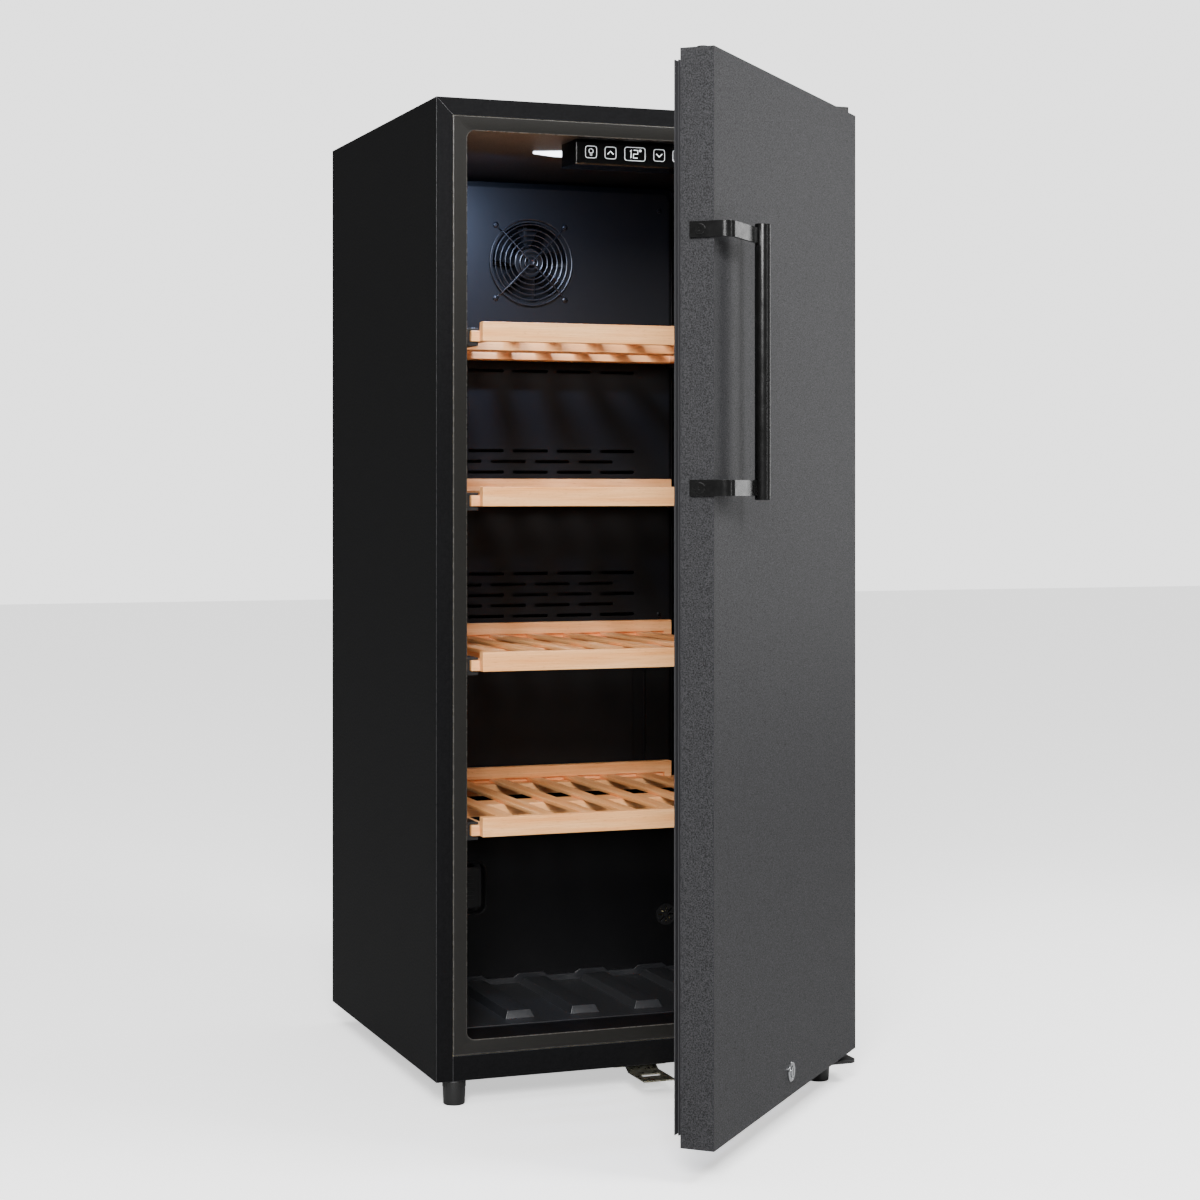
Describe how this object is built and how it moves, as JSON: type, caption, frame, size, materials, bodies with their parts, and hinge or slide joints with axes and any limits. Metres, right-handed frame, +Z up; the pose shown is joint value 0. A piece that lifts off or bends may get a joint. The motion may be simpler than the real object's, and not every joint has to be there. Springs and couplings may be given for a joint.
{
  "type": "wine cooler",
  "caption": "Free-standing upright wine cooler with an insulated black cabinet, a solid hinged door with a bar handle and lock, beech shelves and a fan-cooled duct",
  "frame": {"origin": "on the floor, under the middle of the whole outline as stored, with the door ajar", "axes": "+X to the right as seen from the front, +Y to the back, +Z up"},
  "size_m": [0.5574, 0.9676, 1.259],
  "materials": {
    "cabinet_paint": "black powder paint, fine texture",
    "zinc_steel": "galvanised sheet",
    "liner_plastic": "dark taupe polystyrene, satin",
    "dark_plastic": "black moulded plastic",
    "foam": "rigid polyurethane foam",
    "beech": "planed beech, unvarnished",
    "door_paint": "graphite metallic paint",
    "door_panel_plastic": "grey polystyrene sheet",
    "black_plastic": "black moulded plastic",
    "seal_rubber": "soft vinyl",
    "handle_lacquer": "gloss black lacquer",
    "lock_chrome": "bright plated",
    "plated_steel": "zinc plated",
    "hinge_paint": "satin black",
    "control_glass": "gloss black panel",
    "lamp_plastic": "frosted lens",
    "circuit_board": "green laminate",
    "copper": "drawn copper",
    "evaporator_aluminium": "bright roll-bond sheet",
    "compressor_paint": "gloss black",
    "mount_rubber": "soft rubber"
  },
  "bodies": {
    "cabinet": {"base_pan": "cabinet_paint", "bottle_tray": "dark_plastic", "cabinet_foam": "foam", "charcoal_filter": "black_plastic", "compressor": "compressor_paint", "compressor_mounts": "mount_rubber", "condenser_tubes": "copper", "control_board": "circuit_board", "control_glass": "control_glass", "control_housing": "dark_plastic", "drain_grille": "black_plastic", "duct_screws": "plated_steel", "evaporation_tray": "black_plastic", "evaporator_cover": "liner_plastic", "evaporator_plate": "evaporator_aluminium", "fan_guard": "lock_chrome", "fan_housing": "dark_plastic", "hinge_cap": "black_plastic", "lamp_board": "circuit_board", "lamp_lens": "lamp_plastic", "liner": "liner_plastic", "lock_keeper": "plated_steel", "lower_duct_panel": "liner_plastic", "lower_hinge": "hinge_paint", "machine_bay_plate": "zinc_steel", "power_inlet": "black_plastic", "rear_feet": "black_plastic", "rear_panel": "zinc_steel", "refrigerant_pipes": "copper", "relay_box": "black_plastic", "shelf_runners": "dark_plastic", "side_panel_left": "cabinet_paint", "side_panel_right": "cabinet_paint", "top_panel": "cabinet_paint", "top_plug": "black_plastic", "upper_hinge": "hinge_paint"},
    "door": {"door_skin": "door_paint", "door_end_caps": "black_plastic", "door_inner_panel": "door_panel_plastic", "door_foam": "foam", "door_seal": "seal_rubber", "door_plug": "black_plastic", "handle_arms": "handle_lacquer", "handle_bar": "handle_lacquer", "handle_screws": "handle_lacquer", "lock_housing": "lock_chrome"},
    "lock": {"lock_cylinder": "lock_chrome", "lock_cam": "plated_steel"},
    "fan": {"fan_impeller": "dark_plastic"},
    "foot_left": {"front_foot_left": "black_plastic"},
    "foot_right": {"front_foot_right": "black_plastic"},
    "shelf_1": {"shelf_1_frame": "beech", "shelf_1_slats": "beech"},
    "shelf_2": {"shelf_2_frame": "beech", "shelf_2_slats": "beech"},
    "shelf_3": {"shelf_3_frame": "beech", "shelf_3_slats": "beech"},
    "shelf_4": {"shelf_4_frame": "beech", "shelf_4_slats": "beech"}
  },
  "joints": [
    {"name": "door_hinge", "type": "hinge", "parent": "cabinet", "child": "door", "pos_m": [0.2595, -0.065, 0.03], "axis": [0, 0, 1], "range_deg": [-47.2, 67.8]},
    {"name": "lock_turn", "type": "hinge", "parent": "door", "child": "lock", "pos_m": [0.09977, -0.27076, 0.0657], "axis": [0.7337, -0.6794, 0], "range_deg": [0, 90]},
    {"name": "fan_spin", "type": "hinge", "parent": "cabinet", "child": "fan", "pos_m": [0, 0.414, 1.091], "axis": [0, -1, 0], "continuous": true},
    {"name": "left_foot_turn", "type": "hinge", "parent": "cabinet", "child": "foot_left", "pos_m": [-0.246, -0.024, 0], "axis": [0, 0, 1], "continuous": true},
    {"name": "right_foot_turn", "type": "hinge", "parent": "cabinet", "child": "foot_right", "pos_m": [0.232, -0.07, 0], "axis": [0, 0, 1], "continuous": true},
    {"name": "shelf_1_slide", "type": "slide", "parent": "cabinet", "child": "shelf_1", "axis": [0, -1, 0], "range_m": [0, 0.035]},
    {"name": "shelf_2_slide", "type": "slide", "parent": "cabinet", "child": "shelf_2", "axis": [0, -1, 0], "range_m": [0, 0.035]},
    {"name": "shelf_3_slide", "type": "slide", "parent": "cabinet", "child": "shelf_3", "axis": [0, -1, 0], "range_m": [0, 0.035]},
    {"name": "shelf_4_slide", "type": "slide", "parent": "cabinet", "child": "shelf_4", "axis": [0, -1, 0], "range_m": [0, 0.035]}
  ]
}
